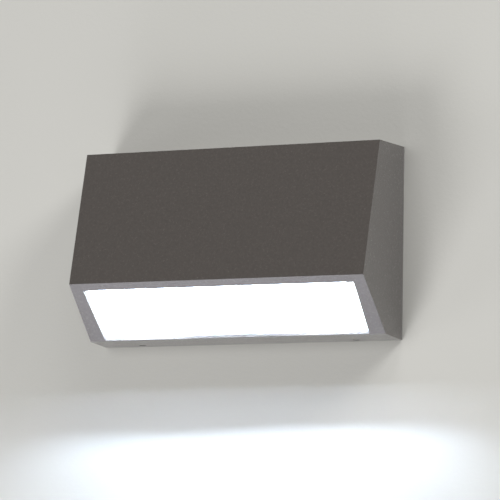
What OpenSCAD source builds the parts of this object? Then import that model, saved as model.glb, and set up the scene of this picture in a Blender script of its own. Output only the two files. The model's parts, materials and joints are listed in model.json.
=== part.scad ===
// Wall-mounted step light: a wedge-shaped cast housing with a sloping glass window.
// Millimetres. +Z is up, +X is to the right seen from the room, and the wall is the plane Y = 0.
// The origin is the centre of the wall plate's cable hole, on the wall, and the room is towards -Y.

/* [Body] */
// Width of the housing at the wall
body_w = 250; // [240:1:290]
// Height of the housing at the wall
body_h = 150; // [146:1:180]
// Depth from the wall to the nose, the edge over the window
body_d = 78; // [76:0.5:84]
// Depth of the top face
top_d = 49; // [48:0.5:60]
// Depth of the underside, from the wall to the lip under the window
lip_d = 33; // [32:0.25:36]
// Height of the nose above the lowest edge
nose_h = 41.5; // [40:0.5:46]
// Casting draft of the sides, top and underside, in degrees
draft_deg = 2.5; // [1.5:0.25:3.5]
// Wall thickness of the casting
wall = 3; // [2.5:0.25:3.5]
// Thickness of the casting round the window
bezel = 2.5; // [2:0.25:3]
// Gap between the housing's rear edge and the wall
rim_gap = 0.5; // [0.3:0.1:1.5]

/* [Window] */
// Width of the frame beside the window at the nose, if the window's sides stood upright
side_frame = 10.4; // [9.5:0.1:13]
// How far each side of the window leans in from its top to its bottom
window_lean = 1.6; // [0:0.1:2]
// Width of the frame above the window
top_frame = 7.2; // [7:0.1:9]
// Width of the lip under the window
sill = 0.8; // [0.6:0.1:1.5]
// Corner radius of the window
window_r = 0.8; // [0.5:0.1:3]
// Thickness of the glass
glass_t = 4; // [3.5:0.25:4.5]
// How far the glass laps behind the frame at its sides
glass_lap_x = 5; // [4:0.5:5.5]
// How far the glass laps behind the frame at its top
glass_lap_top = 4.4; // [3.5:0.1:4.6]
// How far the glass drops below the lip
glass_drop = 0.7; // [0.4:0.1:0.8]
// Thickness of the glass gasket when it is clamped
gasket_t = 0.8; // [0.5:0.1:1.1]
// Gap round the edge of the glass
glass_gap = 0.3; // [0.2:0.05:0.5]

/* [Wall plate] */
// Thickness of the wall plate
plate_t = 2; // [1.5:0.25:2.5]
// Gap between the wall plate and the housing at the sides
plate_gap = 1.5; // [1:0.25:3]
// Depth of the wall plate's folded rim, from the wall
rim_d = 6; // [4:0.5:8]
// Depth of the wall plate's four tabs, from the wall
tab_d = 13; // [12:0.25:14]
// Width of a tab
tab_w = 30; // [20:1:40]
// Corner radius of the wall plate
plate_r = 5; // [3:0.5:8]
// Distance between the two wall slots
slot_span = 160; // [140:1:170]
// Length of a wall slot, end to end
slot_l = 14; // [10:0.5:20]
// Width of a wall slot
slot_w = 5.2; // [4.2:0.1:6.2]
// Distance between the two slots for a round wall box
box_span = 60; // [56:1:84]
// Length of a wall box slot, end to end
box_slot_l = 10; // [6:0.5:12]
// Width of a wall box slot
box_slot_w = 4.2; // [3.2:0.1:5]
// Bore of the bush in the cable hole
bush_bore = 26; // [24:0.5:30]
// Thickness of the bush's rubber
bush_t = 1.6; // [1.2:0.1:2]
// Width of the bush's flange on the plate
bush_flange = 3; // [2:0.5:4]

/* [Clamping] */
// Distance between the two hanging ribs under the top wall
hang_span = 150; // [110:1:180]
// Width of a hanging rib
hang_w = 12; // [8:1:20]
// Height of a hanging rib
hang_h = 2.4; // [1.5:0.1:4]
// Distance between the two set screws in the underside
set_screw_span = 180; // [150:1:184]
// Depth of the set screws' axes from the wall
set_screw_d = 8; // [7:0.25:8.5]
// Diameter of a set screw
set_screw_dia = 5; // [4:0.5:6]
// Width across the flats of its hex socket
set_key = 2.5; // [2:0.1:3]
// Diameter of the pad round a set screw
pad_dia = 11; // [9:0.5:12]
// Height of that pad above the bottom wall
pad_h = 1.2; // [1:0.1:2]

/* [Rear cover] */
// Gap between the tabs and the rear cover
cover_back_gap = 1; // [0.5:0.25:1.5]
// Thickness of the rear cover
cover_t = 2; // [1.5:0.25:2.25]
// Gap between the rear cover's edge and the housing walls
cover_gap = 1.5; // [1:0.25:2.5]
// Corner radius of the rear cover
cover_r = 4; // [2:0.5:6]
// Thickness of the cover gasket when it is clamped
seal_t = 1.5; // [1:0.25:1.75]
// Width of the cover gasket
seal_w = 6.5; // [6:0.25:7]
// Thickness of the ledge that the gasket lies on
ledge_t = 3; // [2.5:0.25:3.5]
// Width of the ledge, from the rear cover's edge inward
ledge_w = 7; // [6.5:0.25:8]
// Diameter of a cover screw
cover_screw_dia = 3.5; // [3:0.25:4]
// Diameter of a boss for a cover screw
boss_dia = 7; // [6.5:0.25:7.5]
// Distance of the cover screws from the rear cover's edge
screw_inset = 3.8; // [3.6:0.1:4.2]

/* [Light source] */
// Depth of the LED row from the wall
led_d = 51; // [46:0.5:54]
// Distance between LEDs
led_pitch = 16.4; // [12:0.1:20]
// Side of an LED package
led_size = 3.5; // [2.8:0.1:5]
// Height of an LED package
led_h = 0.8; // [0.6:0.1:1.2]
// Width of the LED board
board_w = 12; // [10:0.5:13]
// Thickness of the LED board
board_t = 1.6; // [1:0.1:2]
// Distance of the LED board's ends from the window's sides
board_gap = 9; // [8:0.5:14]
// Board kept clear beyond the outer LEDs, at each end
board_end = 11.5; // [10:0.5:16]
// How far the carrier runs beyond the board at each end
carrier_end = 1; // [0.5:0.25:1.5]
// Length of the board's connector
connector_l = 6; // [4:0.5:8]
// Width of the board's connector
connector_w = 8; // [7:0.5:10]
// Height of the board's connector
connector_h = 3; // [2.4:0.1:4]
// Distance of the connector from the board's end
connector_end = 1.5; // [0:0.25:2]
// Thickness of the thermal pad on the board
thermal_t = 0.4; // [0.3:0.1:0.6]
// Height of the carrier's underside above the nose
carrier_rise = 0.9; // [0.5:0.1:2]
// Thickness of the carrier
carrier_t = 3; // [2:0.25:3.5]
// Gap between the carrier's front edge and the reflector's
carrier_gap = 3.5; // [1:0.5:8]
// Height of the carrier's upright leg
carrier_flange = 13; // [12.5:0.5:15]
// Distance between the two carrier posts
post_span = 170; // [150:1:180]
// Diameter of a carrier post
post_dia = 8; // [7:0.5:9]
// Diameter of the carrier and earth screws
carrier_screw_dia = 4; // [3:0.5:5]
// Length of a carrier screw
carrier_screw_l = 12; // [10:1:16]
// Thickness of the reflector
reflector_t = 1.5; // [1:0.25:1.75]
// Gap between the glass and the reflector
reflector_gap = 0.3; // [0.2:0.1:0.5]
// Distance of the reflector's cheeks beyond the window's sides
cheek_gap = 0.5; // [0.5:0.25:2]
// Outer radius of the grommet round the LED leads
grommet_r = 3.6; // [3.2:0.1:3.8]
// Thickness of the grommet's silicone rubber
grommet_wall = 1.2; // [0.8:0.1:1.3]

/* [Driver] */
// Length of the driver case
driver_l = 120; // [100:1:126]
// Height of the driver case
driver_h = 34; // [30:0.5:36]
// Depth of the driver case with its lid
driver_d = 24; // [22:0.5:25]
// Wall thickness of the driver case
driver_wall = 2; // [1.5:0.25:2.5]
// Thickness of its fixing ears
ear_t = 3; // [2:0.25:4]
// Length of a fixing ear
ear_l = 10; // [9:0.5:12]
// Gap between the driver case and the ledge above it
driver_gap = 1.7; // [1:0.1:3]
// Thickness of its circuit board
pcb_t = 1.6; // [1:0.1:2]
// Height of the posts that hold its circuit board
pcb_rise = 3; // [2:0.25:4]
// Gap between its circuit board and its walls
pcb_gap = 1; // [0.5:0.25:2]
// Distance of the wires' entries in front of the circuit board
entry_gap = 4; // [2.5:0.25:8]
// Height of the transformer and the capacitors over the circuit board
parts_h = 12; // [10:0.5:12]
// Width of the transformer's core
core_w = 24; // [20:1:28]
// Diameter of the transformer's winding
winding_dia = 16; // [14:0.5:17]
// Diameter of a capacitor
cap_dia = 10; // [8:0.5:12]
// Distance of a capacitor from the transformer's middle
cap_x = 26; // [24:1:28]
// Diameter of the choke
choke_dia = 9; // [7:0.5:11]
// Distance of the choke from the transformer's middle
choke_x = 39; // [38:1:42]
// Height of the bosses that the driver and the terminal block sit on
foot_h = 2; // [1.5:0.25:3]
// Diameter of those bosses
foot_dia = 7; // [6.5:0.25:8]
// Diameter of the driver screws and terminal block screws
small_screw = 2.5; // [2:0.25:3]

/* [Terminals and wires] */
// Width of one pole
pole_w = 11; // [10:0.5:12]
// Height of the terminal block
term_h = 18; // [16:0.5:19]
// Depth of the terminal block
term_d = 15; // [14:0.5:16]
// Side of a square brass clamp
clamp_w = 5; // [4.6:0.1:5.5]
// Bore of a brass clamp
clamp_bore = 3.4; // [3:0.1:3.6]
// Diameter of a clamp screw
clamp_screw = 3; // [2.5:0.1:3.5]
// Distance of the terminal block's middle beyond the driver's left end
term_out = 10; // [6:1:14]
// Straight run of a wire out of its terminal
wire_out = 3; // [2:0.5:4]
// Length of a wire's end inside the driver
wire_end = 8; // [6:0.5:9]
// Diameter of the mains-side wires over their insulation
wire_dia = 2.4; // [1.8:0.1:2.6]
// Diameter of the LED leads over their insulation
lead_dia = 1.6; // [1.2:0.1:1.8]
// Distance of the earth screw from the middle of the lamp
earth_x = 46; // [42:0.5:48]
// Thickness of the earth lug
lug_t = 0.8; // [0.5:0.1:1]
// Radius of the earth lug's ring
lug_r = 4; // [3.8:0.1:4.5]
// Length of the earth lug's barrel
barrel_l = 6; // [4:0.5:7]
// Wall thickness of the earth lug's barrel
barrel_wall = 0.6; // [0.4:0.1:0.8]
// Length of the neck between the lug's ring and its barrel
lug_neck = 1.5; // [1:0.25:3]

/* [Cable gland] */
// Cable bore of the gland's seal
gland_bore = 8; // [6:0.25:8.5]
// Thread diameter of the gland
gland_thread = 12; // [11.5:0.25:13]
// Width across the flats of the gland's hexagons
gland_hex = 18; // [17:0.25:19]
// Thickness of the gland's fixed hexagon
gland_flange = 3; // [2.5:0.25:3.5]
// Length of the dome nut
dome_l = 7; // [6.5:0.25:7.5]
// Length of the thread inside the cover
gland_inside = 8; // [6:0.5:10]
// Thickness of the locknut
locknut_t = 3; // [2:0.25:4]
// Wall thickness of the gland's threaded part
gland_wall = 1.5; // [1.2:0.1:1.8]
// Thickness of the dome nut's end over the seal
dome_lip = 1.5; // [1:0.1:1.75]
// Length of the dome nut's hexagon
dome_hex_l = 4; // [3:0.25:5]
// How far the collar round the seal is wider than the thread
collar_step = 0.8; // [0.6:0.1:1]
// Wall thickness of that collar
collar_wall = 1.2; // [1:0.1:1.5]
// How far the seal stands out of the collar
seal_rise = 1; // [0.5:0.1:1.5]
// Thickness of the floor under the seal, over the fixed hexagon
seal_floor = 1; // [0.5:0.1:1.5]

/* [Hidden] */
$fn = 48;
// Overrun of a cut past the face that it opens
cut = 1;
// Radial gap between a screw and its threaded hole
thread_gap = 0.05;
// Radial gap between a screw and a hole that it only passes through
pass_gap = 0.3;
// Gap between pieces that lie next to each other but aren't clamped
seat_gap = 0.3;
// Screw end left beyond its thread, or thread left beyond its screw
screw_end = 1.5;
// Poles of the terminal block: line, neutral and earth
poles = 3;

// The tapering shell, by depth from the wall
draft = tan(draft_deg);
wall_x = wall / cos(draft_deg);
bottom = -body_h / 2;
top = body_h / 2;
function half_w(d) = body_w / 2 - draft * d;
function floor_z(d) = bottom + draft * d;
function roof_z(d) = top - draft * d;
function inner_half(d) = half_w(d) - wall_x;
function inner_floor(d) = floor_z(d) + wall_x;
function inner_roof(d) = roof_z(d) - wall_x;

// Outline of the body as [Y, Z], counter-clockwise from the lower rear corner
nose = [-body_d, bottom + nose_h];
lip = [-lip_d, floor_z(lip_d)];
outline = [
    [-rim_gap, floor_z(rim_gap)],
    [-rim_gap, roof_z(rim_gap)],
    [-top_d, roof_z(top_d)],
    nose,
    lip
];

// Outlines moved inward, each side by its own distance
function unit(v) = v / norm(v);
function turned(v) = [-v.y, v.x];
function meet(p, u, q, w) = p + u * cross(q - p, w) / cross(u, w);
function side_dir(pts, i) = unit(pts[(i + 1) % len(pts)] - pts[i]);
function side_start(pts, i, ins) = pts[i] + ins[i] * turned(side_dir(pts, i));
function inset(pts, ins) = [
    for (i = [0 : len(pts) - 1])
        let (h = (i + len(pts) - 1) % len(pts))
        meet(side_start(pts, h, ins), side_dir(pts, h), side_start(pts, i, ins), side_dir(pts, i))
];

// The sloping window face: distances up it from the lip, and inward from it
slope_up = unit(nose - lip);
slope_in = -turned(slope_up);
slope_l = norm(nose - lip);
slope_deg = atan2(slope_up.y, slope_up.x);
function slope_point(up, inward) = lip + up * slope_up + inward * slope_in;
// The point with a given Y or Z on the line that runs at a distance inward from the window face
function slope_at_y(y, inward) = slope_point((y - lip.x - inward * slope_in.x) / slope_up.x, inward);
function slope_at_z(z, inward) = slope_point((z - lip.y - inward * slope_in.y) / slope_up.y, inward);

window_w = 2 * (half_w(body_d) - side_frame);
window_top = slope_l - top_frame;
lean_deg = atan(window_lean / (window_top - sill));
function window_half(up) = (window_w - window_lean) / 2 + (up - sill) * tan(lean_deg);
function window_corner(up) = [window_half(up) - window_r / cos(lean_deg), up];
glass_w = window_w + 2 * glass_lap_x;
glass_high = window_top + glass_lap_top;
glass_front = bezel + gasket_t;
glass_back = glass_front + glass_t;

// Wall plate: hung from the ribs at its top, clear of the set screws' pads at its bottom
plate_half = inner_half(tab_d) - plate_gap;
plate_top = inner_roof(tab_d) - hang_h;
pad_top = inner_floor(set_screw_d) + pad_h;
plate_bottom = pad_top + seat_gap;
plate_h = plate_top - plate_bottom;
plate_mid = (plate_top + plate_bottom) / 2;
bush_r = bush_bore / 2 + bush_t;

// Rear cover, its gasket and the ledge in the housing
cover_y = -(tab_d + cover_back_gap);
cover_front = cover_y - cover_t;
ledge_y = cover_front - seal_t;
cover_half = inner_half(-ledge_y) - cover_gap;
cover_top = inner_roof(-ledge_y) - cover_gap;
cover_bottom = inner_floor(-ledge_y) + cover_gap;
cover_mid = (cover_top + cover_bottom) / 2;
cover_h = cover_top - cover_bottom;
cover_screw_places = [
    for (x = [-1, 0, 1], z = [-1, 0, 1])
        if (x != 0 || z != 0)
            [x * (cover_half - screw_inset), cover_mid + z * (cover_h / 2 - screw_inset)]
];

// Reflector: its upright wall stands just behind the lower edge of the glass
reflector_y = slope_point(-glass_drop, glass_back).x + reflector_gap;
reflector_rear = reflector_y + reflector_t;
boss_end = reflector_rear + seat_gap;
reflector_top = nose.y + carrier_rise;
cheek_x = window_half(window_top) + cheek_gap;
reflector_side = [
    slope_at_y(reflector_rear, glass_back + reflector_gap),
    [reflector_rear, reflector_top],
    slope_at_z(reflector_top, glass_back + reflector_gap)
];

// LED row: as many as the board has room for
board_half = window_w / 2 - board_gap;
board_top = reflector_top - thermal_t;
board_z = board_top - board_t;
led_count = floor(2 * (board_half - board_end) / led_pitch) + 1;
led_row = (led_count - 1) * led_pitch;
led_xs = [for (i = [0 : led_count - 1]) i * led_pitch - led_row / 2];
connector_x = board_half - connector_end - connector_l / 2;

// Carrier: a level leg over the LED row and an upright leg screwed to the housing's posts
carrier_half = board_half + carrier_end;
carrier_front = reflector_side[2].x + carrier_gap;
carrier_top = reflector_top + carrier_t;
post_z = carrier_top + (carrier_flange - carrier_t) / 2;
post_y = reflector_y - carrier_t;
grommet_x = (carrier_half + cheek_x) / 2;

// Driver and terminal block, on low bosses on the rear cover
foot_y = cover_front - foot_h;
driver_front = foot_y - driver_d;
driver_top = cover_top - ledge_w - driver_gap;
driver_mid = driver_top - driver_h / 2;
ear_x = driver_l / 2 + ear_l / 2;
pcb_rear = foot_y - driver_wall - pcb_rise;
pcb_front = pcb_rear - pcb_t;
pcb_l = driver_l - 2 * (driver_wall + pcb_gap);
pcb_h = driver_h - 2 * (driver_wall + pcb_gap);
term_w = poles * pole_w;
term_x = driver_l / 2 + term_out;
term_y = foot_y - term_d / 2;
term_mid = (reflector_top + carrier_flange + driver_top - driver_h) / 2;
term_top = term_mid + term_h / 2;
pole_xs = [for (i = [0 : poles - 1]) -term_x + (i - (poles - 1) / 2) * pole_w];
term_screw_xs = [for (i = [1 : poles - 1]) (pole_xs[i] + pole_xs[i - 1]) / 2];
clamp_screw_z = term_h / 4;
barrel_z = post_z + lug_r + lug_neck;
barrel_y = reflector_y + wire_dia / 2 + barrel_wall;
// Height of the wires' entries above and below the driver's middle
entry_z = driver_h / 6;
entry_y = pcb_front - entry_gap;

// Gland: the collar takes the seal, and the dome nut closes over it
gland_y = cover_y + gland_flange;
dome_y = gland_y + dome_l;
dome_rear = dome_y - dome_lip;
collar_r = gland_thread / 2 + collar_step;
collar_y = dome_rear - seal_rise;
seal_r = collar_r - collar_wall;
seal_y = gland_y + seal_floor;

// Pan heads, by the diameter of the screw
function head_r(dia) = 0.95 * dia;
function head_h(dia) = 0.6 * dia;

// Placing helpers
module across(w) rotate([90, 0, 90]) translate([0, 0, -w / 2]) linear_extrude(w) children();
module facing(y, t) translate([0, y, 0]) rotate([90, 0, 0]) linear_extrude(t) children();
module rod_y(x, z, y_rear, y_front, r)
    translate([x, y_rear, z])
        rotate([90, 0, 0])
            cylinder(h = y_rear - y_front, r = r);
module block(x, y, z)
    translate([x[0], y[0], z[0]])
        cube([x[1] - x[0], y[1] - y[0], z[1] - z[0]]);
module on_slope() translate([0, lip.x, lip.y]) rotate([slope_deg, 0, 0]) children();
// A hexagonal prism with flats at its top and bottom, from y_rear towards the room
module hex_y(y_rear, l, flats)
    translate([0, y_rear, 0])
        rotate([90, 0, 0])
            cylinder(h = l, r = flats / 2 / cos(30), $fn = 6);
module rounded(w, h, r) {
    square([w - 2 * r, h], center = true);
    square([w, h - 2 * r], center = true);
    for (x = [-1, 1], y = [-1, 1])
        translate([x * (w / 2 - r), y * (h / 2 - r)])
            circle(r);
}
// The window's outline on the slope, with its corners rounded
module window_outline() {
    low = window_corner(sill + window_r);
    high = window_corner(window_top - window_r);
    out = window_r * [cos(lean_deg), -sin(lean_deg)];
    right = [[low.x, sill], low + out, high + out, [high.x, window_top]];
    polygon(concat(right, [for (i = [3 : -1 : 0]) [-right[i].x, right[i].y]]));
    for (at = [low, high], side = [-1, 1])
        translate([side * at.x, at.y])
            circle(window_r);
}
module slot(l, w) {
    square([l - w, w], center = true);
    for (x = [-1, 1])
        translate([x * (l - w) / 2, 0])
            circle(w / 2);
}
// A cross-head screw driven towards the room, with its head's underside at y
module rear_screw(x, z, y, dia, l)
    difference() {
        union() {
            rod_y(x, z, y + head_h(dia), y, head_r(dia));
            rod_y(x, z, y + head_h(dia) / 2, y - l, dia / 2);
        }
        for (turn = [0, 90])
            translate([x, y + head_h(dia), z])
                rotate([0, turn, 0])
                    cube([1.2 * head_r(dia), head_h(dia), dia / 4], center = true);
    }
// The same screw driven towards the wall, with its head's underside at y
module front_screw(x, z, y, dia, l)
    translate([0, 2 * y, 0])
        mirror([0, 1, 0])
            rear_screw(x, z, y, dia, l);

// A round wire swept along its route, whose corners are rounded by curves
wire_sides = 8;
curve_steps = 5;
function curved(a, b, c, k) = (1 - k) * (1 - k) * a + 2 * k * (1 - k) * b + k * k * c;
function middle(a, b) = (a + b) / 2;
function route(p) = [
    p[0],
    for (i = [1 : len(p) - 2], k = [(i == 1 ? 0 : 1) : curve_steps])
        curved(middle(p[i - 1], p[i]), p[i], middle(p[i], p[i + 1]), k / curve_steps),
    p[len(p) - 1]
];
function heading(p, i) = unit(p[min(i + 1, len(p) - 1)] - p[max(i - 1, 0)]);
function wire_ring(p, i, r, aside) =
    let (h = heading(p, i), u = unit(cross(h, aside)), v = cross(h, u), step = 360 / wire_sides)
    [for (k = [0 : wire_sides - 1]) p[i] + r * (cos(step * k) * u + sin(step * k) * v)];
module wire(points, dia, aside) {
    path = route(points);
    n = len(path);
    s = wire_sides;
    polyhedron(
        [for (i = [0 : n - 1]) each wire_ring(path, i, dia / 2, aside)],
        [
            [for (k = [0 : s - 1]) k],
            for (i = [0 : n - 2], k = [0 : s - 1])
                each [
                    [i * s + k, (i + 1) * s + k, (i + 1) * s + (k + 1) % s],
                    [i * s + k, (i + 1) * s + (k + 1) % s, i * s + (k + 1) % s]
                ],
            [for (k = [s - 1 : -1 : 0]) (n - 1) * s + k]
        ]
    );
}

// A solid between the drafted side walls, whose outline is given as [Y, Z]
module drafted(side_outline, half_at_wall) {
    far = body_d + cut;
    intersection() {
        across(body_w + 2 * cut) polygon(side_outline);
        translate([0, 0, bottom - cut])
            linear_extrude(body_h + 2 * cut)
                polygon([
                    [half_at_wall + draft * cut, cut],
                    [-half_at_wall - draft * cut, cut],
                    [-half_at_wall + draft * far, -far],
                    [half_at_wall - draft * far, -far]
                ]);
    }
}
module body_solid() drafted(outline, body_w / 2);

module wall_plate()
    color("silver")
    difference() {
        union() {
            difference() {
                translate([0, 0, plate_mid]) facing(0, rim_d) rounded(2 * plate_half, plate_h, plate_r);
                translate([0, 0, plate_mid])
                    facing(-plate_t, rim_d)
                        rounded(2 * (plate_half - plate_t), plate_h - 2 * plate_t, plate_r - plate_t / 2);
            }
            for (side = [-1, 1], tab = [[hang_span, plate_top - plate_t], [set_screw_span, plate_bottom]])
                translate([side * tab[0] / 2, 0, tab[1]])
                    block([-tab_w / 2, tab_w / 2], [-tab_d, -plate_t / 2], [0, plate_t]);
        }
        facing(cut, plate_t + 2 * cut) {
            circle(bush_r);
            for (side = [-1, 1]) {
                translate([side * slot_span / 2, 0]) slot(slot_l, slot_w);
                translate([side * box_span / 2, 0]) slot(box_slot_l, box_slot_w);
            }
        }
    }

module cable_hole_bush()
    color("black")
    difference() {
        union() {
            rod_y(0, 0, 0, -plate_t - bush_t, bush_r);
            rod_y(0, 0, -plate_t, -plate_t - bush_t, bush_r + bush_flange);
        }
        rod_y(0, 0, cut, -plate_t - bush_t - cut, bush_bore / 2);
    }

module housing_shell()
    difference() {
        body_solid();
        drafted(inset(outline, [-2 * cut, wall, wall, bezel, wall]), body_w / 2 - wall_x);
    }

module housing_features()
    intersection() {
        body_solid();
        union() {
            difference() {
                facing(ledge_y, ledge_t) square([body_w, body_h], center = true);
                translate([0, 0, cover_mid])
                    facing(ledge_y + cut, ledge_t + 2 * cut)
                        rounded(2 * (cover_half - ledge_w), cover_h - 2 * ledge_w, cover_r);
            }
            for (at = cover_screw_places)
                rod_y(at.x, at.y, ledge_y, boss_end, boss_dia / 2);
            for (side = [-1, 1]) {
                rod_y(side * post_span / 2, post_z, post_y, -body_d, post_dia / 2);
                translate([side * hang_span / 2, 0, 0])
                    block([-hang_w / 2, hang_w / 2], [-tab_d, -plate_t - cut], [plate_top, top]);
                translate([side * set_screw_span / 2, -set_screw_d, bottom])
                    cylinder(h = pad_top - bottom, d = pad_dia);
            }
        }
    }

module housing()
    color([0.34, 0.32, 0.31])
    difference() {
        union() {
            housing_shell();
            housing_features();
        }
        on_slope()
            translate([0, 0, -bezel - cut])
                linear_extrude(bezel + 2 * cut)
                    window_outline();
        on_slope()
            translate([
                -glass_w / 2 - glass_gap,
                -glass_drop - glass_gap,
                -glass_back - reflector_gap
            ])
                cube([
                    glass_w + 2 * glass_gap,
                    glass_high + glass_drop + 2 * glass_gap,
                    glass_back + reflector_gap - bezel
                ]);
        for (at = cover_screw_places)
            rod_y(at.x, at.y, ledge_y + cut, boss_end + cut, cover_screw_dia / 2 + thread_gap);
        for (side = [-1, 1]) {
            rod_y(
                side * post_span / 2, post_z, post_y + cut, post_y - carrier_screw_l,
                carrier_screw_dia / 2 + thread_gap
            );
            translate([side * set_screw_span / 2, -set_screw_d, bottom - cut])
                cylinder(h = pad_top - bottom + 2 * cut, d = set_screw_dia + 2 * thread_gap);
        }
    }

module glass_window()
    color([0.85, 0.92, 0.95, 0.4])
    on_slope()
        translate([-glass_w / 2, -glass_drop, -glass_back])
            cube([glass_w, glass_high + glass_drop, glass_t]);

module window_gasket()
    color("dimgray")
    on_slope()
        translate([0, 0, -glass_front])
            linear_extrude(gasket_t)
                difference() {
                    translate([-glass_w / 2, -glass_drop]) square([glass_w, glass_high + glass_drop]);
                    window_outline();
                }

module reflector()
    color("white")
    difference() {
        union() {
            across(2 * (cheek_x + reflector_t)) polygon(reflector_side);
            for (side = [-1, 1])
                translate([side * post_span / 2, 0, 0])
                    block(
                        [-post_dia, post_dia], [reflector_y, reflector_rear],
                        [reflector_top - reflector_t, reflector_top + carrier_flange]
                    );
        }
        block(
            [-cheek_x, cheek_x], [-body_d, reflector_y],
            [bottom, reflector_top - reflector_t]
        );
        block(
            [-board_half - seat_gap, board_half + seat_gap],
            [-led_d - board_w / 2 - seat_gap, -led_d + board_w / 2 + seat_gap],
            [reflector_top - reflector_t - cut, reflector_top + cut]
        );
        translate([grommet_x, -led_d, reflector_top - reflector_t - cut])
            cylinder(h = reflector_t + 2 * cut, r = grommet_r - grommet_wall / 2);
        for (side = [-1, 1])
            rod_y(
                side * post_span / 2, post_z, reflector_rear + cut, reflector_y - cut,
                carrier_screw_dia / 2 + pass_gap
            );
    }

module led_carrier()
    color("lightgray")
    difference() {
        union() {
            block([-carrier_half, carrier_half], [carrier_front, reflector_y], [reflector_top, carrier_top]);
            block(
                [-carrier_half, carrier_half], [post_y, reflector_y],
                [reflector_top, reflector_top + carrier_flange]
            );
        }
        for (side = [-1, 1])
            rod_y(
                side * post_span / 2, post_z, reflector_y + cut, post_y - cut,
                carrier_screw_dia / 2 + pass_gap
            );
        rod_y(
            -earth_x, post_z, reflector_y + cut, post_y - cut,
            carrier_screw_dia / 2 + thread_gap
        );
    }

module carrier_screws()
    color("silver")
    for (side = [-1, 1])
        rear_screw(side * post_span / 2, post_z, reflector_rear, carrier_screw_dia, carrier_screw_l);

module thermal_pad()
    color("lightgray")
    block(
        [-board_half, board_half], [-led_d - board_w / 2, -led_d + board_w / 2],
        [board_top, reflector_top]
    );

module led_board()
    color("white")
    block(
        [-board_half, board_half], [-led_d - board_w / 2, -led_d + board_w / 2],
        [board_z, board_top]
    );

module led_packages()
    color("lightyellow")
    for (x = led_xs)
        translate([x, -led_d, board_z - led_h]) {
            translate([-led_size / 2, -led_size / 2, 0]) cube([led_size, led_size, led_h]);
            translate([0, 0, -led_h / 3]) cylinder(h = led_h, d = 0.8 * led_size);
        }

module led_connector()
    color("ivory")
    difference() {
        block(
            [connector_x - connector_l / 2, connector_x + connector_l / 2],
            [-led_d - connector_w / 2, -led_d + connector_w / 2],
            [board_z - connector_h, board_z]
        );
        for (side = [-1, 1])
            translate([connector_x, -led_d + side * connector_w / 4, board_z - connector_h / 2])
                rotate([0, 90, 0])
                    cylinder(h = connector_l, r = lead_dia / 2 + seat_gap);
    }

module lead_grommet()
    color("whitesmoke")
    translate([grommet_x, -led_d, 0])
        difference() {
            union() {
                for (z = [reflector_top - reflector_t - grommet_wall, reflector_top])
                    translate([0, 0, z]) cylinder(h = grommet_wall, r = grommet_r);
                translate([0, 0, reflector_top - reflector_t - grommet_wall / 2])
                    cylinder(h = reflector_t + grommet_wall, r = grommet_r - grommet_wall / 2);
            }
            translate([0, 0, reflector_top - reflector_t - 2 * grommet_wall])
                cylinder(h = reflector_t + 4 * grommet_wall, r = grommet_r - grommet_wall);
        }

// side is 1 for the positive lead, nearer the wall, and -1 for the negative one
module led_lead(side) {
    y_low = -led_d + side * connector_w / 4;
    y_high = -led_d + side * (lead_dia / 2 + 0.1);
    z_low = board_z - connector_h / 2;
    z_in = driver_mid - side * entry_z;
    wire([
        [connector_x, y_low, z_low],
        [connector_x + connector_l / 2 + lead_dia / 2, y_low, z_low],
        [grommet_x, y_high, z_low - lead_dia / 4],
        [grommet_x, y_high, reflector_top + 2 * wire_out],
        [grommet_x, y_high, (reflector_top + z_in) / 2],
        [grommet_x, entry_y - wire_end, z_in - wire_end],
        [grommet_x - 2 * wire_end, entry_y, z_in],
        [driver_l / 2 + wire_out, entry_y, z_in],
        [driver_l / 2 - wire_end, entry_y, z_in],
        [driver_l / 2 - wire_end, pcb_front, z_in]
    ], lead_dia, [0.2, 1, 0.45]);
}
module led_lead_positive() color("mistyrose") led_lead(1);
module led_lead_negative() color("whitesmoke") led_lead(-1);

module rear_cover()
    color([0.6, 0.6, 0.6])
    difference() {
        union() {
            translate([0, 0, cover_mid]) facing(cover_y, cover_t) rounded(2 * cover_half, cover_h, cover_r);
            for (side = [-1, 1])
                rod_y(side * ear_x, driver_mid, cover_y - cover_t / 2, foot_y, foot_dia / 2);
            for (x = term_screw_xs)
                rod_y(x, term_mid, cover_y - cover_t / 2, foot_y, foot_dia / 2);
        }
        rod_y(0, 0, cover_y + cut, cover_front - cut, gland_thread / 2 + pass_gap / 2);
        for (at = cover_screw_places)
            rod_y(at.x, at.y, cover_y + cut, cover_front - cut, cover_screw_dia / 2 + pass_gap);
        for (x = [-ear_x, ear_x])
            rod_y(x, driver_mid, cover_y - cover_t / 2, foot_y - cut, small_screw / 2 + thread_gap);
        for (x = term_screw_xs)
            rod_y(x, term_mid, cover_y - cover_t / 2, foot_y - cut, small_screw / 2 + thread_gap);
    }

module cover_gasket()
    color("dimgray")
    difference() {
        translate([0, 0, cover_mid]) facing(cover_front, seal_t) rounded(2 * cover_half, cover_h, cover_r);
        translate([0, 0, cover_mid])
            facing(cover_front + cut, seal_t + 2 * cut)
                rounded(2 * (cover_half - seal_w), cover_h - 2 * seal_w, cover_r);
        for (at = cover_screw_places)
            rod_y(at.x, at.y, cover_front + cut, ledge_y - cut, cover_screw_dia / 2 + pass_gap);
    }

module cover_screws()
    color("silver")
    for (at = cover_screw_places)
        rear_screw(at.x, at.y, cover_y, cover_screw_dia, cover_y - boss_end - screw_end);

module set_screws()
    color("dimgray")
    for (side = [-1, 1])
        translate([side * set_screw_span / 2, -set_screw_d, floor_z(set_screw_d) + seat_gap])
            difference() {
                cylinder(h = plate_bottom - floor_z(set_screw_d) - seat_gap, d = set_screw_dia);
                translate([0, 0, -cut]) cylinder(h = set_key + cut, r = set_key / 2 / cos(30), $fn = 6);
            }

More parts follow.
